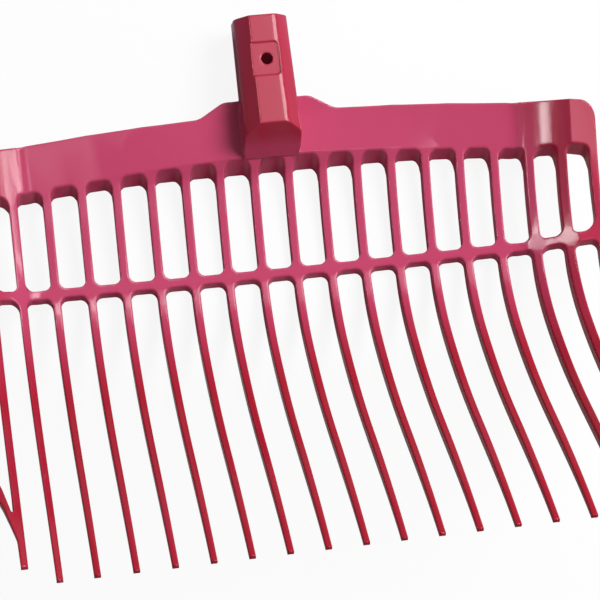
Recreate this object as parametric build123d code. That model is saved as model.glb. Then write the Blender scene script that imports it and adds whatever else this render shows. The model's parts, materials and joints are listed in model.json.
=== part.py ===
"""Manure fork head: one plastic moulding with a slotted blade, a cross rail, swept tines,
two bent-up wings with guard rails, and a blind socket for a round handle.

The head is drawn in its own mould frame, with X across the head, Y up the blade towards the
handle and Z out of the hollow side. At the end it is laid on its back, as it comes to rest.

How the shape is made: one side profile (blade, ribs, curved tine) is carried across the head
along a shallow bow and up the bent wings, one straight strip for each rib and tine, which gives
a closed shell. Every slot and every gap between tines is then cut through that shell along one
direction, the way the mould opens, so the walls of the slots lean as they do on the real one.
"""
import os
from math import acos, asin, cos, radians, sin, sqrt, tan

from build123d import *

# Tines and ribs, mm
PITCH = 22.0               # from rib to rib along the bowed head
TINES = 18
RIB_WIDE = 5.4             # rib between two slots, seen from the front
TINE_WIDE_ROOT = 5.1
TINE_WIDE_TIP = 3.7
RAIL_WIDE = 5.0            # guard rail outside the last tine
RIB_DEEP = 6.3             # front to back
TINE_DEEP_ROOT = 8.4
TINE_DEEP_MIDDLE = 7.3
TINE_DEEP_TIP = 3.4
WING_TINE_SHORTER = 13.0   # the tine of each wing ends this much sooner

# Side profile, as tangent arcs: radius in mm and turn in degrees
LEAN_AT_CROSS_RAIL = 8.7   # the ribs' slope where they meet the cross rail
RIB_RADIUS = 247.0
TINE_ARCS = ((85.0, 37.9), (284.0, 16.0), (622.0, -8.55))

# Bow across the head and bent wings
BOW_RADIUS = 1088.0
BOW_SLANT = 0.2156         # the bow also lifts the wings up the blade, square to the handle
BEND_START = 152.5         # from the middle of the head
BEND_RADIUS = 18.0
WING_SLOPE = 33.5          # degrees
WING_RIM_SLOPE = 4.0
GUARD_RAIL_AT = 201.4      # middle of the guard rail at the slots
GUARD_RAIL_SPREAD = 1.2    # and this much further out from the cross rail down
WING_RIM_WIDE = 13.6       # the wing folds flat again this far inside the guard rail
WING_TINE_AT = 182.5
WING_RIB_AT = 164.1        # the rib in the bend

# Blade, slots and cross rail, measured up the blade from the cross rail's upper edge
CROSS_RAIL_TALL = 6.0
SLOT_TOP = 67.6
SLOT_TOP_LEVEL = 40.0      # half of the level stretch in the middle
SLOT_TOP_ARC = 960.0       # radius of the fall to each side
BLADE_TOP = 98.9
BLADE_TOP_ARC = 1261.0
SHOULDER_TOP = 107.6       # the blade rises at the handle socket
SHOULDER_INNER = 27.5
SHOULDER_OUTER = 43.5
SHOULDER_RADII = (13.0, 16.0)
WING_CORNER = 11.0         # radius of the outer upper corner
BLADE_THICK = 5.0
FLANGE_DEEP = 11.0         # the blade's lower edge is a deeper flange
FLANGE_TALL = 11.0
SLOT_CORNER = 4.4
WING_SLOT_CORNERS = (3.6, 9.4, 4.4, 2.5)   # lower inner, lower outer, upper outer, upper inner
GAP_CORNER = 4.6
MOULD_SLANT = 34.0         # degrees between the mould's opening direction and the blade's face

# The guard rail's sweep in to the wing's tine: distance out from the tine's middle and height
# above its tip, seen as the mould opens
CROTCH = (2.6, 33.7)       # the rail's inner edge meets the tine
INNER_SWEEP = (7.2, 56.4)
JOIN = (2.35, 18.5)        # the rail's outer edge meets the tine
OUTER_SWEEP = (8.0, 41.6)
INNER_SWAY = ((3.2, 82.9), (0.6, 109.4))   # in from the rail's inner edge, and height
OUTER_SWAY = ((3.6, 76.3), (0.6, 106.1))   # in from its outer edge, and height
RAIL_STRAIGHT = 33.2       # down from the cross rail
PAST_TIP = 22.0            # how far the cutters reach past the tips

# Thickening of the blade beside the socket
BULGE_HIGH = 6.3
BULGE_FLAT = 18.0
BULGE_END = 112.0

# Handle socket
MOUTH_Y, MOUTH_Z = 156.4, -2.0
SOCKET_TILT = 12.4         # degrees
HANDLE_DIAMETER = 28.0
BORE_RADIUS = HANDLE_DIAMETER/2 + 0.15
BORE_DEEP = 62.0
SOCKET_HALF_MOUTH = 16.9
SOCKET_HALF_LOW = 17.8
SOCKET_FLAT = 8.4          # half the width of the front flat
SOCKET_SOFT_CORNER = 5.0
SOCKET_CRISP_CORNER = 1.2
SOCKET_SIDE_CORNER = 8.0
MOUTH_CHAMFER = 0.8
SOCKET_BACK_END = 93.0     # the socket's back runs out into the blade's back here
NOSE_LOW = (71.3, 5.6)     # lower end of the slanted nose under the socket (Y, Z)
NOSE_SLANT = 42.0          # degrees from the Z axis
BOLT_DIAMETER = 7.2
BOLT_FROM_MOUTH = 28.0
PAD_WIDE, PAD_TALL, PAD_DEEP = 16.6, 21.0, 0.9
PAD_CORNER = 2.5

REST_TILT = 6.73           # degrees; the head then rests on its cross rail and lower blade edge

GUARD_RAIL_LOW = GUARD_RAIL_AT + GUARD_RAIL_SPREAD
WING_CREASE = GUARD_RAIL_AT - WING_RIM_WIDE

SLOPE = tan(radians(MOULD_SLANT))
ACROSS_PULL = cos(radians(MOULD_SLANT))   # heights shrink by this in the cutting plane
CUTTING_PLANE = Plane(origin=(0, 0, 0), x_dir=(1, 0, 0), z_dir=(0, sin(radians(MOULD_SLANT)), ACROSS_PULL))


def rise(x):
    """How far the head's face has come forward at this distance from the middle."""
    x = abs(x)
    start, end = asin(BEND_START/BOW_RADIUS), radians(WING_SLOPE)
    if x <= BEND_START:
        return BOW_RADIUS - sqrt(BOW_RADIUS**2 - x**2)
    base = BOW_RADIUS - sqrt(BOW_RADIUS**2 - BEND_START**2)
    arc_end = BEND_START + BEND_RADIUS*(sin(end) - sin(start))
    if x <= arc_end:
        angle = asin((x - BEND_START)/BEND_RADIUS + sin(start))
        return base + BEND_RADIUS*(cos(start) - cos(angle))
    base += BEND_RADIUS*(cos(start) - cos(end))
    if x <= WING_CREASE:
        return base + (x - arc_end)*tan(end)
    return base + (WING_CREASE - arc_end)*tan(end) + (x - WING_CREASE)*tan(radians(WING_RIM_SLOPE))


def bend_end():
    start, end = asin(BEND_START/BOW_RADIUS), radians(WING_SLOPE)
    return BEND_START + BEND_RADIUS*(sin(end) - sin(start))


def blade_top(x):
    """The blade's upper edge: one long arch."""
    return BLADE_TOP - (BLADE_TOP_ARC - sqrt(BLADE_TOP_ARC**2 - x**2))


def slot_top(x):
    """Upper ends of the slots: level in the middle, then falling on an arc to each side."""
    x = max(0.0, abs(x) - SLOT_TOP_LEVEL)
    return SLOT_TOP - (SLOT_TOP_ARC - sqrt(SLOT_TOP_ARC**2 - x**2))


def rib_x(k):
    """Middle of rib and tine k, counted 0 to 17; -1 and 18 are the guard rails."""
    side = 1 if k > 8.5 else -1
    steps = abs(k - (TINES - 1)/2)
    if steps < 7:
        return side*steps*PITCH
    return side*{7.5: WING_RIB_AT, 8.5: WING_TINE_AT, 9.5: GUARD_RAIL_AT}[steps]


def face_z(y):
    """The front face over ribs and blade before any bow: an arc, then straight."""
    lean = radians(LEAN_AT_CROSS_RAIL)
    straight = SLOT_TOP - 14
    centre_y, centre_z = RIB_RADIUS*sin(lean), RIB_RADIUS*cos(lean)
    if y <= straight:
        return centre_z - sqrt(RIB_RADIUS**2 - (y - centre_y)**2)
    end_z = centre_z - sqrt(RIB_RADIUS**2 - (straight - centre_y)**2)
    return end_z + (y - straight)*(straight - centre_y)/(centre_z - end_z)


def tine_points(shorter=0.0):
    """Corner points of the tine's front line with the middles of its arcs, and its headings."""
    y, z, angle = 0.0, 0.0, radians(LEAN_AT_CROSS_RAIL)
    points = [(y, z, angle, 0.0)]
    run = 0.0
    for number, (radius, turn) in enumerate(TINE_ARCS):
        length = radius*radians(abs(turn))
        if number == len(TINE_ARCS) - 1:
            length -= shorter
        step = length/2
        sign = 1 if turn > 0 else -1
        for _ in range(2):
            middle = angle + sign*step/radius/2
            chord = 2*radius*sin(step/radius/2)
            y -= chord*cos(middle)
            z += chord*sin(middle)
            angle += sign*step/radius
            run += step
            points.append((y, z, angle, run))
    return points


def tine_depth(run):
    """Depth of a tine at a distance along its front line."""
    stops = ((0, RIB_DEEP + 0.6), (16, TINE_DEEP_ROOT), (110, TINE_DEEP_MIDDLE), (230, TINE_DEEP_TIP))
    for (a, deep_a), (b, deep_b) in zip(stops, stops[1:]):
        if run <= b:
            share = (run - a)/(b - a)
            return deep_a + (deep_b - deep_a)*share*share*(3 - 2*share)
    return TINE_DEEP_TIP


def tine_back(run):
    """A point of the tine's back, found along its front line."""
    y, z, angle, left = 0.0, 0.0, radians(LEAN_AT_CROSS_RAIL), run
    for radius, turn in TINE_ARCS:
        length = min(left, radius*radians(abs(turn)))
        if length > 0:
            sign = 1 if turn > 0 else -1
            middle = angle + sign*length/radius/2
            chord = 2*radius*sin(length/radius/2)
            y -= chord*cos(middle)
            z += chord*sin(middle)
            angle += sign*length/radius
            left -= length
    deep = tine_depth(run)
    return y - deep*sin(angle), z - deep*cos(angle)


def profile(x, shorter=0.0):
    """The head's side profile as a closed wire, standing across the head at x."""
    lift, up = rise(x), BOW_SLANT*rise(x)

    def at(y, z):
        return (x, y + up, z + lift)
    straight = SLOT_TOP - 14
    top = SHOULDER_TOP + 8
    front = tine_points(shorter)
    length = front[-1][3]
    edges = [Line(at(top, face_z(top)), at(straight, face_z(straight))),
             ThreePointArc(at(straight, face_z(straight)), at(straight/2, face_z(straight/2)), at(0, 0))]
    for number in range(len(TINE_ARCS)):
        a, b, c = front[2*number:2*number + 3]
        edges.append(ThreePointArc(at(a[0], a[1]), at(b[0], b[1]), at(c[0], c[1])))
    backs = [tine_back(length*share) for share in (1, 0.66, 0.33, 0.1)]
    flange_low = slot_top(x) - FLANGE_DEEP*SLOPE - 3
    flange_high = flange_low + FLANGE_TALL
    low = flange_low - 6
    rear = [(y, face_z(y) - RIB_DEEP) for y in (0, low/2, low)]
    ends = [Vector(0, cos(angle), -sin(angle)) for angle in (front[-1][2], front[0][2])]
    edges.append(Line(at(front[-1][0], front[-1][1]), at(*backs[0])))
    edges.append(Spline(*[at(*p) for p in backs + rear[:1]], tangents=ends))
    edges.append(ThreePointArc(*[at(*p) for p in rear]))
    outline = [rear[-1], (flange_low, face_z(flange_low) - FLANGE_DEEP),
               (flange_high, face_z(flange_high) - FLANGE_DEEP),
               (flange_high + 1.5, face_z(flange_high + 1.5) - BLADE_THICK),
               (top, face_z(top) - BLADE_THICK), (top, face_z(top))]
    for a, b in zip(outline, outline[1:]):
        edges.append(Line(at(*a), at(*b)))
    return Wire(edges)


def shell():
    """The closed shell under the whole head: the profile carried over bow, bends and wings."""
    strips = int(BEND_START/PITCH)
    bow = [-BEND_START] + [PITCH*i for i in range(-strips, strips + 1)] + [BEND_START]
    body = loft([Face(profile(x)) for x in bow], ruled=True)
    arc_end = bend_end()
    split = (WING_RIB_AT + WING_TINE_AT)/2
    for side in (-1, 1):
        bend = [side*(BEND_START + (arc_end - BEND_START)*i/3) for i in range(4)]
        body += loft([Face(profile(x)) for x in bend], ruled=True)
        for a, b, shorter in ((arc_end, split, 0), (split, WING_CREASE, WING_TINE_SHORTER),
                              (WING_CREASE, GUARD_RAIL_LOW + 6, WING_TINE_SHORTER)):
            body += loft([Face(profile(side*a, shorter)), Face(profile(side*b, shorter))], ruled=True)
    return body


def bulge():
    """The blade's face thickens towards the socket and flares into the ribs below it."""
    sections = []
    for x in (-BULGE_END, -90, -66, -42, -BULGE_FLAT, BULGE_FLAT, 42, 66, 90, BULGE_END):
        lift, up = rise(x), BOW_SLANT*rise(x)
        high = BULGE_HIGH*(BULGE_END - abs(x))/(BULGE_END - BULGE_FLAT) - 0.3
        top = slot_top(x)
        crest = top + high*SLOPE + 0.7
        points = [(top + 34, face_z(top + 34) - 0.8), (crest, face_z(top) + high),
                  (top - 11, face_z(top - 11) - 0.8), (top, face_z(top) - 3)]
        sections.append(Face(Wire.make_polygon([(x, y + up, z + lift) for y, z in points], close=True)))
    return loft(sections, ruled=True)


def flat(x, y, z=None):
    """Where a point of the face falls on the cutting plane, seen as the mould opens."""
    z = face_z(y) if z is None else z
    return (x, (y - z*SLOPE - rise(x)*(SLOPE - BOW_SLANT))*ACROSS_PULL)


def along_pull(face, reach=330.0):
    return extrude(CUTTING_PLANE*face, amount=reach, both=True)


def rounded(points, radii):
    """A polygon in the XY plane with its corners rounded; radius 0 leaves a corner sharp."""
    edges, n = [], len(points)
    ends = []
    for i in range(n):
        before, corner, after = (Vector(*points[j % n], 0) for j in (i - 1, i, i + 1))
        u, v = (before - corner).normalized(), (after - corner).normalized()
        if radii[i] <= 0:
            ends.append((corner, corner, None))
            continue
        half = acos(max(-1.0, min(1.0, u.dot(v))))/2
        cut = radii[i]/tan(half)
        bisector = (u + v).normalized()
        middle = corner + bisector*(radii[i]/sin(half) - radii[i])
        ends.append((corner + u*cut, corner + v*cut, middle))
    for i in range(n):
        first, second, middle = ends[i]
        if middle is not None:
            edges.append(ThreePointArc(first, middle, second))
        nxt = ends[(i + 1) % n][0]
        if (nxt - second).length > 1e-6:
            edges.append(Line(second, nxt))
    return Face(Wire(edges))


def guard_x(y):
    """Middle of the guard rail: it spreads a little down to the cross rail."""
    share = max(0.0, min(1.0, (60 - y)/60))
    return GUARD_RAIL_AT + (GUARD_RAIL_LOW - GUARD_RAIL_AT)*share


def slot(k):
    """Cutter of the slot between rib k and rib k + 1."""
    left, right = rib_x(k) + RIB_WIDE/2, rib_x(k + 1) - RIB_WIDE/2
    low_left, low_right = left, right
    corners = [SLOT_CORNER]*4
    inner_low, outer_low, outer_high, inner_high = WING_SLOT_CORNERS
    if k == TINES - 1:
        low_right = guard_x(0) - RAIL_WIDE/2
        corners = [inner_low, outer_low, outer_high, inner_high]
    if k == -1:
        low_left = -guard_x(0) + RAIL_WIDE/2
        corners = [outer_low, inner_low, inner_high, outer_high]
    points = [flat(low_left, 0), flat(low_right, 0), flat(right, slot_top(right)), flat(left, slot_top(left))]
    return along_pull(rounded(points, corners))


def tip_flat(x, shorter=0.0):
    end = tine_points(shorter)[-1]
    return flat(x, end[0], end[1])


def gap(k):
    """Cutter of the open gap between tine k and tine k + 1."""
    left, right = rib_x(k), rib_x(k + 1)
    top_left = flat(left + TINE_WIDE_ROOT/2, -CROSS_RAIL_TALL, 0)
    top_right = flat(right - TINE_WIDE_ROOT/2, -CROSS_RAIL_TALL, 0)
    points = [(left + TINE_WIDE_TIP/2, tip_flat(left)[1] - PAST_TIP),
              (right - TINE_WIDE_TIP/2, tip_flat(right)[1] - PAST_TIP), top_right, top_left]
    return along_pull(rounded(points, [0, 0, GAP_CORNER, GAP_CORNER]))


def guard_line():
    """Middle line of the right guard rail below the cross rail, in the cutting plane."""
    tip = tip_flat(WING_TINE_AT, WING_TINE_SHORTER)[1]
    start = flat(GUARD_RAIL_LOW, -CROSS_RAIL_TALL, 0)[1]
    return start, tip


def wing_gap(side):
    """Cutter of the closed gap between a wing's tine and its guard rail."""
    start, tip = guard_line()
    outer = GUARD_RAIL_LOW - RAIL_WIDE/2
    sweep = [(WING_TINE_AT + out, tip + high) for out, high in (CROTCH, INNER_SWEEP)]
    sway = [(outer - into, tip + high) for into, high in INNER_SWAY]
    points = [(WING_TINE_AT + TINE_WIDE_ROOT/2, start)] + sweep + sway + [(outer, start)]
    radii = [GAP_CORNER, 0.6, 30, 50, 60, GAP_CORNER]
    if side < 0:
        points = [(-x, y) for x, y in points][::-1]
        radii = radii[::-1]
    return along_pull(rounded(points, radii))


def outline():
    """Everything inside the head's outer outline, seen along the mould's opening direction."""
    start, tip = guard_line()
    shoulder, foot = flat(SHOULDER_INNER, SHOULDER_TOP), flat(SHOULDER_OUTER, blade_top(SHOULDER_OUTER))
    right = [((0, shoulder[1]), 0), (shoulder, SHOULDER_RADII[0]), (foot, SHOULDER_RADII[1])]
    for x, radius in ((80, 0), (115, 0), (BEND_START, 0), (bend_end(), 6), (WING_CREASE, 4)):
        right.append((flat(x, blade_top(x)), radius))
    high_outer = GUARD_RAIL_AT + RAIL_WIDE/2
    outer = GUARD_RAIL_LOW + RAIL_WIDE/2
    right += [(flat(high_outer, blade_top(high_outer)), WING_CORNER),
              (flat(outer, 0), 60), ((outer, start - RAIL_STRAIGHT), 60)]
    right += [((outer - into, tip + high), 60) for into, high in OUTER_SWAY[::-1]]
    right += [((WING_TINE_AT + out, tip + high), 20) for out, high in (OUTER_SWEEP, JOIN)]
    right.append(((WING_TINE_AT + TINE_WIDE_TIP/2, tip - PAST_TIP), 0))
    left = [((-x, y), r) for (x, y), r in right[1:]][::-1]
    both = right + left
    return along_pull(rounded([p for p, _ in both], [r for _, r in both]))


def socket_frame():
    """Plane at the socket's mouth: X across the head, Y to its front, Z into the socket."""
    tilt = radians(SOCKET_TILT)
    return Plane(origin=(0, MOUTH_Y, MOUTH_Z), x_dir=(1, 0, 0), z_dir=(0, -cos(tilt), sin(tilt)))


def socket_section(half, flat_half):
    """Octagon-like section; its front right corner is soft and its front left one is crisp."""
    side = half - flat_half
    points = [(-flat_half, half), (flat_half, half), (half, half - side), (half, -half + side),
              (flat_half, -half), (-flat_half, -half), (-half, -half + side), (-half, half - side)]
    radii = [SOCKET_CRISP_CORNER, SOCKET_SOFT_CORNER] + [SOCKET_SIDE_CORNER]*6
    return rounded(points, radii)


def socket():
    """Socket body, its saddle down to the blade and the slanted nose under it."""
    frame = socket_frame()
    long = BORE_DEEP + 34
    growth = (SOCKET_HALF_LOW - SOCKET_HALF_MOUTH)/BORE_DEEP*long
    mouth = frame*socket_section(SOCKET_HALF_MOUTH, SOCKET_FLAT)
    low = frame.offset(long)*socket_section(SOCKET_HALF_MOUTH + growth, SOCKET_FLAT + growth*0.3)
    body = loft([mouth, low], ruled=True)
    tilt = radians(SOCKET_TILT)

    def axis(y):
        return MOUTH_Z + (MOUTH_Y - y)*tan(tilt)
    half = SOCKET_HALF_LOW - 0.1
    top = 101.0
    side = Wire.make_polygon([(-half, top, axis(top) + 4), (-half, 60, axis(60) + 8), (-half, 60, -3),
                              (-half, top, -1)], close=True)
    body += extrude(Face(side), amount=2*half, dir=(1, 0, 0))
    slant = radians(NOSE_SLANT)
    low_y, low_z = NOSE_LOW
    far = 60.0
    nose = Wire.make_polygon([(-40, low_y - far*cos(slant), low_z - far*cos(slant)/tan(slant)),
                              (-40, low_y + far*sin(slant), low_z + far*cos(slant)),
                              (-40, low_y - far, low_z + far*cos(slant))], close=True)
    body -= extrude(Face(nose), amount=80, dir=(1, 0, 0))
    below = Box(80, 60, 60, align=(Align.CENTER, Align.MAX, Align.CENTER)).move(Location((0, low_y - 0.6, 0)))
    behind = Box(80, 60, 60, align=(Align.CENTER, Align.MAX, Align.MAX))
    body -= below
    # nothing of the socket's inner end stands out of the blade's back
    body -= behind.move(Location((0, SOCKET_BACK_END, face_z(80) - BLADE_THICK + 0.4)))
    return body


def socket_cuts():
    """Blind bore, mouth chamfer, cross hole for the bolt and the flat pad round it."""
    frame = socket_frame()
    bore = extrude(frame*Circle(BORE_RADIUS), amount=BORE_DEEP)
    flare = loft([frame.offset(-0.01)*Circle(BORE_RADIUS + MOUTH_CHAMFER),
                  frame.offset(MOUTH_CHAMFER)*Circle(BORE_RADIUS)])
    across = Plane(origin=frame.from_local_coords(Vector(0, 0, BOLT_FROM_MOUTH)), x_dir=(1, 0, 0),
                   z_dir=frame.y_dir)
    bolt = extrude(across*Circle(BOLT_DIAMETER/2), amount=40, both=True)
    growth = (SOCKET_HALF_LOW - SOCKET_HALF_MOUTH)/BORE_DEEP*BOLT_FROM_MOUTH
    floor = SOCKET_HALF_MOUTH + growth - PAD_DEEP
    left, right = -PAD_WIDE/2 - 1.5, PAD_WIDE/2 - 0.5
    tall = PAD_TALL/2
    pad = rounded([(left, -tall), (right, -tall), (right, tall), (left, tall)],
                  [0, PAD_CORNER, PAD_CORNER, 0])
    pad = extrude(across.offset(floor)*pad, amount=10)
    return [bore, flare, bolt, pad]


def head():
    """The whole moulding in its own mould frame."""
    inside = outline()
    body = (shell() & inside) + (bulge() & inside)
    body -= [slot(k) for k in range(-1, TINES)]
    body -= [gap(k) for k in range(TINES - 1)] + [wing_gap(-1), wing_gap(1)]
    body += socket()
    body -= socket_cuts()
    return body


def laid_down(body):
    """Lay the head on its back, with the origin on the floor under the middle of its box."""
    body = Rot(REST_TILT, 0, 0)*body
    box = body.bounding_box()
    middle = (box.min + box.max)*0.5
    lowest = min(corner.Z for corner in body.vertices())
    return Pos(-middle.X, -middle.Y, -lowest)*body


if __name__ == "__main__":
    os.makedirs("parts", exist_ok=True)
    export_step(laid_down(head()), "parts/fork_head.step")
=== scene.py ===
"""Manure fork head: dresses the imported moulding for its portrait.

The moulding's shape comes from the frame. Here its edges are rounded as a mould leaves them, each
wing gets its slight hollow, and the whole gets its glossy red plastic. It is laid on a pale studio
floor before the camera.
"""

import json
from math import radians

import bmesh
import bpy
from bpy.props import FloatProperty, FloatVectorProperty, IntProperty, PointerProperty
from mathutils import Matrix, Vector


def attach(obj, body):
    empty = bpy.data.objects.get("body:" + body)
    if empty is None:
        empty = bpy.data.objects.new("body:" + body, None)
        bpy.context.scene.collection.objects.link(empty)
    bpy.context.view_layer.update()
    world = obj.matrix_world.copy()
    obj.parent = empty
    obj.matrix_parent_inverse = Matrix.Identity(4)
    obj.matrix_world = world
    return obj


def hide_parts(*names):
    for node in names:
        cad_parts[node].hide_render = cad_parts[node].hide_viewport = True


bl_info = {
    "name": "Manure fork head",
    "version": (1, 0, 0),
    "blender": (4, 5, 0),
    "location": "View3D > Sidebar > Fork head",
    "description": "Finishes the moulded fork head and lays it out in a plain studio",
    "category": "Object",
}

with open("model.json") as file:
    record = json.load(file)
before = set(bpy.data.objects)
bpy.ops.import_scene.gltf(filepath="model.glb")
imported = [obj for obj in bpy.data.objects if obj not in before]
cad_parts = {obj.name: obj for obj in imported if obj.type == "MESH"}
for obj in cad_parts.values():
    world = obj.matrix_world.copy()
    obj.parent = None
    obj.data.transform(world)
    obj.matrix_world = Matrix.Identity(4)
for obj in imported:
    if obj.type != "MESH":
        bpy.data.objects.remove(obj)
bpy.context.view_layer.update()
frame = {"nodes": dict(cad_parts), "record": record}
NODE = "fork_head"
SOCKET = next(mount for mount in frame["record"]["mounts"] if mount["name"] == "handle_socket")
MM = 0.001

# the handle socket: its radius with room to spare, and the reach of its body and of its nose
SOCKET_RADIUS = 23*MM
SOCKET_BODY, SOCKET_NOSE = 70*MM, 86*MM

# the wings: the slope lies between the bend and the outer crease, and its hollow fades out
# towards the cross rail
WING_SLOPE_FROM, WING_SLOPE_TO = 161.0*MM, 187.8*MM
WING_HOLLOW_LOW, WING_HOLLOW_RISE = 5.0*MM, 25.0*MM
WING_STRIPS = 8
WING_BEND = 8*MM      # the bend starts this far inside the slope
WING_FACES = 60*MM    # a face that reaches the slope has its middle less than this inside it

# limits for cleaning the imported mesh
SLIVER = 0.02*MM
FLAT = radians(0.2)
CUT_TOUCH = 0.05*MM   # a point this near a cut lies on it
WALL_FACING = 0.35    # a wall of the mould faces its opening direction by less than this

# painted shade: the tines' darker colour fades out up the blade into its painted sheen, and comes back with
# height on wings and socket
TIP_SHADE_FULL, TIP_SHADE_NONE = -70*MM, 5*MM
RAISED_SHADE_NONE, RAISED_SHADE_FULL, RAISED_SHADE_SHARE = 24*MM, 40*MM, 0.75

# noises of the plastic: scale, detail, roughness and stretch
FLOW = (9.0, 4.0, 0.55, (1.0, 0.35, 1.0))
FLOW_NONE, FLOW_FULL, FLOW_SHARE = 0.45, 0.85, 0.45
PEEL = (520.0, 2.0, 0.5)
PEEL_SHARE = 0.35
WAVES = (60.0, 2.0, 0.5)
GLOSS_PATCHES = (34.0, 3.0, 0.6)

BUMP_STRENGTH, BUMP_HEIGHT = 0.05, 0.4*MM
ROUGHNESS, ROUGHNESS_RISE = 0.10, 0.05
PLASTIC_IOR = 1.49
EDGE_SAMPLES = 6

# the studio, in metres
HEAD_CENTRE = (0.0, 0.0, 0.06)
KEY_SIZE, KEY_AT = (1.1, 1.1), (1.06, 0.62, 1.58)
FLOOR_HALF, FLOOR_BELOW = 6.0, 0.2*MM
SENSOR_WIDTH = 36.0   # in millimetres, as the lens
CLIP_NEAR, CLIP_FAR = 0.05, 20.0

# windows that only show as reflections: name, brightness, width and height, place, what they face
WINDOWS = (
    ("left_window", 1.1, (0.36, 0.05), (-0.52, -0.03, 0.59), (0.175, 0.05, 0.035)),
    ("right_window", 0.65, (0.40, 0.06), (0.614, -0.075, 0.453), (-0.166, 0.078, 0.03)),
    ("right_window_upper", 0.65, (0.40, 0.06), (0.530, -0.058, 0.584), (-0.166, 0.078, 0.03)),
    ("corner_window", 0.16, (0.15, 0.35), (0.37, -0.36, 1.18), (0.19, 0.074, 0.046)),
    ("socket_window", 0.10, (0.35, 0.40), (0.18, 0.55, 1.16), (0.0, 0.13, 0.04)),
    ("edge_window", 0.7, (0.40, 0.14), (-0.55, 0.45, 0.85), (-0.005, 0.12, 0.04)),
)


class HeadSizes(bpy.types.PropertyGroup):
    """Roundings and hollows of the moulding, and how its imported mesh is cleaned."""
    front_round: FloatProperty(
        name="Front rounding", description="Rounding of the front edges of ribs and tines",
        default=0.9*MM, min=0.0, unit="LENGTH", subtype="DISTANCE")
    back_round: FloatProperty(
        name="Back rounding", description="Rounding of the back edges",
        default=0.45*MM, min=0.0, unit="LENGTH", subtype="DISTANCE")
    socket_round: FloatProperty(
        name="Socket rounding", description="Rounding of the edges of the socket, its mouth and its pad",
        default=0.35*MM, min=0.0, unit="LENGTH", subtype="DISTANCE")
    weld: FloatProperty(
        name="Weld", description="Points of the packed mesh closer than this become one",
        default=0.8*MM, min=0.0, unit="LENGTH", subtype="DISTANCE")
    fine_weld: FloatProperty(
        name="Fine weld", description="The same, for the socket and the creased wings",
        default=0.22*MM, min=0.0, unit="LENGTH", subtype="DISTANCE")
    sharp_angle: FloatProperty(
        name="Sharp angle", description="Edges that turn by more than this are rounded",
        default=radians(27), subtype="ANGLE")
    wing_hollow: FloatProperty(
        name="Wing hollow", description="How far the wing's slope sags between its two creases",
        default=1.1*MM, min=0.0, unit="LENGTH", subtype="DISTANCE")
    steps: IntProperty(
        name="Steps", description="Facets across each rounding", default=3, min=1, max=6)
    mould_slant: FloatProperty(
        name="Mould slant", description="Lean of the slot walls from upright, with the head at rest",
        default=radians(27.3), subtype="ANGLE")


class HeadColours(bpy.types.PropertyGroup):
    """Colours and finish of the plastic: the blade's colour holds a painted pale sheen, the tines' colour
    painted shade.
    """
    # painted sheen: the blade's red is paler and bluish, as its mirror reflection shows
    blade: FloatVectorProperty(
        name="Blade", description="Colour of the plastic on blade and ribs",
        subtype="COLOR", size=3, default=(0.58, 0.066, 0.158), min=0.0, max=1.0)
    # painted shade: the tines' red is darker and deeper than the blade's
    tines: FloatVectorProperty(
        name="Tines", description="Colour of the plastic towards the tips",
        subtype="COLOR", size=3, default=(0.43, 0.012, 0.031), min=0.0, max=1.0)
    streaks: FloatVectorProperty(
        name="Flow streaks", description="Deeper colour where the melt flowed together",
        subtype="COLOR", size=3, default=(0.50, 0.028, 0.095), min=0.0, max=1.0)
    soft_edge: FloatProperty(
        name="Soft edge", description="How far the shading turns round an edge",
        default=1.5*MM, min=0.0, unit="LENGTH", subtype="DISTANCE")
    gloss: FloatProperty(
        name="Gloss", description="Strength of the plastic's mirror reflection",
        default=0.38, min=0.0, max=1.0, subtype="FACTOR")


class StudioSettings(bpy.types.PropertyGroup):
    """Camera, lamps and floor."""
    lens: FloatProperty(
        name="Lens", description="Focal length in millimetres", default=131.64, unit="CAMERA")
    camera_at: FloatVectorProperty(
        name="Camera", description="Place of the camera", subtype="XYZ", unit="LENGTH", size=3,
        default=(-0.20515, -0.01931, 1.38507))
    camera_right: FloatVectorProperty(
        name="Picture's right", description="Direction of the picture's right side",
        subtype="DIRECTION", size=3, default=(0.98276, -0.10283, 0.15366))
    camera_forward: FloatVectorProperty(
        name="View direction", description="Direction the camera looks in",
        subtype="DIRECTION", size=3, default=(0.15458, 0.00100, -0.98798))
    key_watts: FloatProperty(
        name="Key lamp", description="Power of the lamp above, right and behind",
        default=41.0, unit="POWER")
    window_watts: FloatProperty(
        name="Windows", description="Power of the windows that the plastic mirrors, a square metre",
        default=65.0)
    ambient: FloatProperty(
        name="Ambient", description="Strength of the light from all round",
        default=0.21, min=0.0, max=1.0, subtype="FACTOR")
    floor: FloatVectorProperty(
        name="Floor", description="Colour of the floor", subtype="COLOR", size=3,
        default=(0.92, 0.92, 0.92), min=0.0, max=1.0)
    floor_bounce: FloatVectorProperty(
        name="Floor bounce", description="Colour that the floor throws back on the object",
        subtype="COLOR", size=3, default=(0.38, 0.38, 0.38), min=0.0, max=1.0)
    floor_white: FloatProperty(
        name="Floor white", description="Share of the floor that is plain white to the eye",
        default=0.90, min=0.0, max=1.0, subtype="FACTOR")


class Socket:
    """A shader socket that takes part in Python sums."""

    def __init__(self, tree, socket):
        self.tree, self.socket = tree, socket

    def __add__(self, other):
        return self.tree.maths("ADD", self, other)

    __radd__ = __add__

    def __mul__(self, other):
        return self.tree.maths("MULTIPLY", self, other)

    __rmul__ = __mul__

    def __sub__(self, other):
        return self.tree.maths("SUBTRACT", self, other)

    def __rsub__(self, other):
        return self.tree.maths("SUBTRACT", other, self)


class Node:
    """A made shader node."""

    def __init__(self, tree, node):
        self.tree, self.node = tree, node

    def out(self, name):
        """Its output of that name, as a socket for sums."""
        return Socket(self.tree, self.node.outputs[name])


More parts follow.
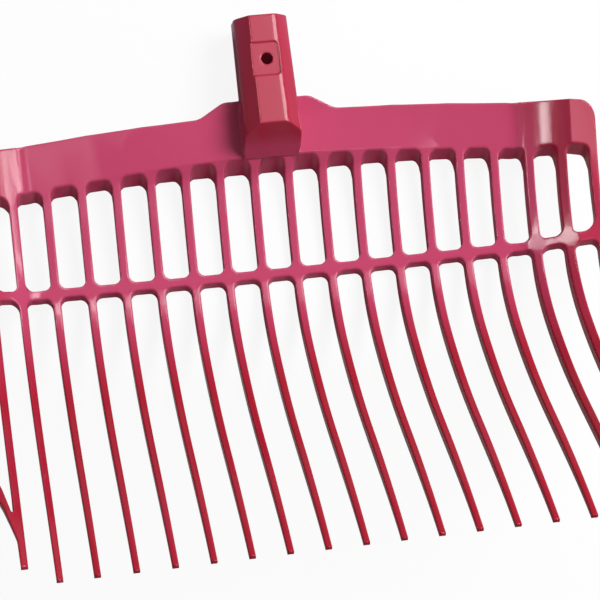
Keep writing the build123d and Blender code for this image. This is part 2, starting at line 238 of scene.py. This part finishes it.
class Tree:
    """The nodes of one material or world."""

    def __init__(self, owner):
        owner.use_nodes = True
        self.nodes, self.links = owner.node_tree.nodes, owner.node_tree.links
        self.nodes.clear()

    def node(self, kind, settings=None, inputs=None):
        """A node of that type, with its settings and the values or links of its sockets."""
        node = self.nodes.new(kind)
        for name, value in (settings or {}).items():
            setattr(node, name, value)
        for name, value in (inputs or {}).items():
            socket = node.inputs[name]
            if isinstance(value, Socket):
                self.links.new(value.socket, socket)
            else:
                socket.default_value = (*value, 1.0) if socket.type == "RGBA" else value
        return Node(self, node)

    def maths(self, operation, *values):
        """One sum on sockets or numbers."""
        return self.node("ShaderNodeMath", {"operation": operation}, dict(enumerate(values))).out("Value")

    def blend(self, share, a, b):
        """Colour a turning into colour b."""
        mix = self.node("ShaderNodeMix", {"data_type": "RGBA"}, {"Factor": share, "A": a, "B": b})
        return mix.out("Result")

    def noise(self, place, scale, detail, rough, stretch=(1, 1, 1)):
        """Even noise from 0 to 1 on stretched coordinates in metres."""
        mapped = self.node("ShaderNodeMapping", {}, {"Vector": place, "Scale": stretch})
        return self.node("ShaderNodeTexNoise", {}, {
            "Vector": mapped.out("Vector"), "Scale": scale, "Detail": detail, "Roughness": rough}).out("Fac")

    def ramp(self, value, low, high):
        """0 up to low, 1 from high, with an eased rise between."""
        return self.node("ShaderNodeMapRange", {"interpolation_type": "SMOOTHSTEP"},
                         {"Value": value, "From Min": low, "From Max": high}).out("Result")


def red_plastic(colours):
    """Glossy moulded plastic: colour flow, a fine orange-peel skin and a faintly uneven gloss, with a
    painted pale sheen on the blade and painted shade towards the tips and up the wings and socket.
    """
    material = bpy.data.materials.new("red_plastic")
    tree = Tree(material)
    place = tree.node("ShaderNodeTexCoord").out("Object")
    parts = tree.node("ShaderNodeSeparateXYZ", {}, {"Vector": place})

    # painted shade: the darker red towards the tips and with height on wings and socket; the rest keeps the
    # blade's painted sheen
    tip_shade = 1.0 - tree.ramp(parts.out("Y"), TIP_SHADE_FULL, TIP_SHADE_NONE)
    raised_shade = tree.ramp(parts.out("Z"), RAISED_SHADE_NONE, RAISED_SHADE_FULL)*RAISED_SHADE_SHARE
    colour = tree.blend(tree.maths("MAXIMUM", tip_shade, raised_shade),
                        tuple(colours.blade), tuple(colours.tines))
    streaks = tree.ramp(tree.noise(place, *FLOW), FLOW_NONE, FLOW_FULL)*FLOW_SHARE
    colour = tree.blend(streaks, colour, tuple(colours.streaks))

    height = tree.noise(place, *PEEL)*PEEL_SHARE + tree.noise(place, *WAVES)
    soft_edges = tree.node("ShaderNodeBevel", {"samples": EDGE_SAMPLES}, {"Radius": colours.soft_edge})
    skin = tree.node("ShaderNodeBump", {}, {
        "Strength": BUMP_STRENGTH, "Distance": BUMP_HEIGHT, "Height": height,
        "Normal": soft_edges.out("Normal")})
    shader = tree.node("ShaderNodeBsdfPrincipled", {}, {
        "Base Color": colour, "Roughness": ROUGHNESS + tree.noise(place, *GLOSS_PATCHES)*ROUGHNESS_RISE,
        "Normal": skin.out("Normal"), "IOR": PLASTIC_IOR, "Specular IOR Level": colours.gloss})
    tree.node("ShaderNodeOutputMaterial", {}, {"Surface": shader.out("BSDF")})
    return material


def link(mesh, name):
    """A new object at the origin that shows the mesh."""
    piece = bpy.data.objects.new(name, mesh)
    bpy.context.scene.collection.objects.link(piece)
    return piece


def on_socket(place, reach):
    """Whether a point lies on the handle socket, its bore or its pad."""
    axis = Vector(SOCKET["axis"])
    off = place - Vector(SOCKET["pos_m"]) - axis*(SOCKET["dims"]["length_mm"]*MM/2)
    along = off.dot(axis)
    return along > -reach and (off - axis*along).length < SOCKET_RADIUS


def on_wing(place):
    """Whether a point lies on a wing, where a moved point would tilt a flat."""
    return abs(place.x) > WING_SLOPE_FROM - WING_BEND and place.y > WING_HOLLOW_LOW


def hollow_wings(bm, sizes):
    """Give the slope of each wing its slight hollow between bend and outer crease."""
    middle, half = (WING_SLOPE_FROM + WING_SLOPE_TO)/2, (WING_SLOPE_TO - WING_SLOPE_FROM)/2
    for side in (-1, 1):
        for step in range(1, WING_STRIPS):
            faces = [face for face in bm.faces if face.calc_center_median().y > WING_HOLLOW_LOW
                     and side*face.calc_center_median().x > WING_SLOPE_FROM - WING_FACES]
            edges = {edge for face in faces for edge in face.edges}
            verts = {vert for face in faces for vert in face.verts}
            cut = side*(WING_SLOPE_FROM + 2*half*step/WING_STRIPS)
            bmesh.ops.bisect_plane(bm, geom=[*faces, *edges, *verts], plane_co=(cut, 0, 0),
                                   plane_no=(1, 0, 0), dist=CUT_TOUCH)
    for vert in bm.verts:
        across = (abs(vert.co.x) - middle)/half
        up = min(1.0, max(0.0, (vert.co.y - WING_HOLLOW_LOW)/WING_HOLLOW_RISE))
        if abs(across) < 1:
            vert.co.z -= sizes.wing_hollow*(1 - across*across)*up*up*(3 - 2*up)


def edge_weights(bm, sizes):
    """Share of the front rounding that each edge takes: front, back, and the socket's finer ones."""
    pull = Matrix.Rotation(-sizes.mould_slant, 3, "X") @ Vector((0, 0, 1))
    layer = bm.edges.layers.float.new("bevel_weight_edge")
    for edge in bm.edges:
        if len(edge.link_faces) != 2 or edge.calc_face_angle(0.0) < sizes.sharp_angle:
            continue
        edge.smooth = False
        facing = [face.normal.dot(pull) for face in edge.link_faces]
        if on_socket((edge.verts[0].co + edge.verts[1].co)/2, SOCKET_NOSE):
            edge[layer] = sizes.socket_round/sizes.front_round
        elif min(map(abs, facing)) < WALL_FACING < max(map(abs, facing)):
            edge[layer] = 1.0 if max(facing) > WALL_FACING else sizes.back_round/sizes.front_round


def clean_moulding(sizes):
    """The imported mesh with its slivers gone, its wings hollowed and its sharp edges marked."""
    bm = bmesh.new()
    bm.from_mesh(frame["nodes"][NODE].data)
    plain = [vert for vert in bm.verts if not (on_socket(vert.co, SOCKET_BODY) or on_wing(vert.co))]
    bmesh.ops.remove_doubles(bm, verts=plain, dist=sizes.weld)
    bmesh.ops.remove_doubles(bm, verts=bm.verts, dist=sizes.fine_weld)
    bmesh.ops.dissolve_degenerate(bm, dist=SLIVER, edges=bm.edges)
    bmesh.ops.dissolve_limit(bm, angle_limit=FLAT, use_dissolve_boundaries=False,
                             verts=bm.verts, edges=bm.edges)
    hollow_wings(bm, sizes)
    edge_weights(bm, sizes)
    for face in bm.faces:
        face.smooth = True
    mesh = bpy.data.meshes.new("moulding")
    bm.to_mesh(mesh)
    bm.free()
    return mesh


def round_edges(piece, sizes):
    """Roundings by edge weight, with shading that stays flat beside them."""
    bevel = piece.modifiers.new("Roundings", "BEVEL")
    bevel.limit_method = "WEIGHT"
    bevel.width = sizes.front_round
    bevel.segments = sizes.steps
    bevel.use_clamp_overlap = False
    bevel.loop_slide = False
    cut = piece.modifiers.new("Plain faces", "TRIANGULATE")
    cut.min_vertices = 5
    even = piece.modifiers.new("Even shading", "WEIGHTED_NORMAL")
    even.weight = 50
    even.keep_sharp = True


class FORK_OT_moulding(bpy.types.Operator):
    """Round the moulding's edges and give it its plastic"""
    bl_idname = "fork.moulding"
    bl_label = "Moulding"

    def execute(self, context):
        sizes = context.scene.fork_head_sizes
        piece = link(clean_moulding(sizes), "moulding")
        round_edges(piece, sizes)
        piece.data.materials.append(red_plastic(context.scene.fork_head_colours))
        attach(piece, "root")
        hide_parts(NODE)
        return {"FINISHED"}


def lamp(name, size, watts, at, towards):
    """A soft lamp of that width and height, aimed at a point."""
    data = bpy.data.lights.new(name, "AREA")
    data.shape, data.size, data.size_y = "RECTANGLE", size[0], size[1]
    data.energy = watts
    made = bpy.data.objects.new(name, data)
    made.location = at
    made.rotation_mode = "QUATERNION"
    made.rotation_quaternion = (Vector(towards) - Vector(at)).to_track_quat("-Z", "Y")
    bpy.context.scene.collection.objects.link(made)
    return made


class FORK_OT_stage(bpy.types.Operator):
    """Lay out the floor, the lamps, the surrounding light and the camera"""
    bl_idname = "fork.stage"
    bl_label = "Studio"

    def execute(self, context):
        settings = context.scene.fork_head_studio
        self.floor(settings)
        self.light(context, settings)
        self.camera(context, settings)
        return {"FINISHED"}

    def floor(self, settings):
        """Pale paper, near white to the camera and dimmer to the object."""
        bm = bmesh.new()
        bmesh.ops.create_grid(bm, x_segments=1, y_segments=1, size=FLOOR_HALF)
        bmesh.ops.translate(bm, verts=bm.verts, vec=(0, 0, -FLOOR_BELOW))
        mesh = bpy.data.meshes.new("floor")
        bm.to_mesh(mesh)
        bm.free()
        floor = link(mesh, "floor")
        material = bpy.data.materials.new("floor_paper")
        tree = Tree(material)
        seen = tree.node("ShaderNodeLightPath").out("Is Camera Ray")
        colour = tree.blend(seen, tuple(settings.floor_bounce), tuple(settings.floor))
        paper = tree.node("ShaderNodeBsdfDiffuse", {}, {"Color": colour})
        white = tree.node("ShaderNodeEmission", {}, {"Color": (1, 1, 1), "Strength": 1.0})
        mixed = tree.node("ShaderNodeMixShader", {}, {
            0: seen*settings.floor_white, 1: paper.out("BSDF"), 2: white.out("Emission")})
        tree.node("ShaderNodeOutputMaterial", {}, {"Surface": mixed.out("Shader")})
        mesh.materials.append(material)

    def light(self, context, settings):
        """A white surrounding for the camera, a dimmer one for the object, and the lamps."""
        world = bpy.data.worlds.new("studio")
        context.scene.world = world
        tree = Tree(world)
        seen = tree.node("ShaderNodeLightPath").out("Is Camera Ray")
        back = tree.node("ShaderNodeBackground", {}, {
            "Color": (1, 1, 1), "Strength": settings.ambient + seen*(1.0 - settings.ambient)})
        tree.node("ShaderNodeOutputWorld", {}, {"Surface": back.out("Background")})
        lamp("key", KEY_SIZE, settings.key_watts, KEY_AT, HEAD_CENTRE)
        for name, share, size, at, towards in WINDOWS:
            window = lamp(name, size, share*settings.window_watts*size[0]*size[1], at, towards)
            window.visible_diffuse = False

    def camera(self, context, settings):
        """The photograph's camera, and plain colours."""
        data = bpy.data.cameras.new("camera")
        data.lens = settings.lens
        data.sensor_width = SENSOR_WIDTH
        data.clip_start, data.clip_end = CLIP_NEAR, CLIP_FAR
        camera = bpy.data.objects.new("camera", data)
        forward = Vector(settings.camera_forward).normalized()
        right = Vector(settings.camera_right)
        right = (right - forward*right.dot(forward)).normalized()
        up = right.cross(forward)
        turn = Matrix((right, up, -forward)).transposed()
        camera.matrix_world = Matrix.Translation(settings.camera_at) @ turn.to_4x4()
        context.scene.collection.objects.link(camera)
        context.scene.camera = camera
        context.scene.view_settings.view_transform = "Standard"


class FORK_PT_panel(bpy.types.Panel):
    """The steps that finish the fork head"""
    bl_idname = "FORK_PT_panel"
    bl_label = "Fork head"
    bl_space_type = "VIEW_3D"
    bl_region_type = "UI"
    bl_category = "Fork head"

    def draw(self, context):
        for operator in OPERATORS:
            self.layout.operator(operator.bl_idname)


OPERATORS = (FORK_OT_moulding, FORK_OT_stage)
GROUPS = {
    "fork_head_sizes": HeadSizes,
    "fork_head_colours": HeadColours,
    "fork_head_studio": StudioSettings,
}


def register():
    for group in GROUPS.values():
        bpy.utils.register_class(group)
    for made in OPERATORS + (FORK_PT_panel,):
        bpy.utils.register_class(made)
    for name, group in GROUPS.items():
        setattr(bpy.types.Scene, name, PointerProperty(type=group))


def unregister():
    for name in GROUPS:
        delattr(bpy.types.Scene, name)
    for made in (FORK_PT_panel,) + OPERATORS[::-1]:
        bpy.utils.unregister_class(made)
    for group in GROUPS.values():
        bpy.utils.unregister_class(group)


def main():
    register()
    bpy.ops.fork.moulding()
    bpy.ops.fork.stage()
    bpy.context.view_layer.update()


if __name__ == "__main__":
    main()
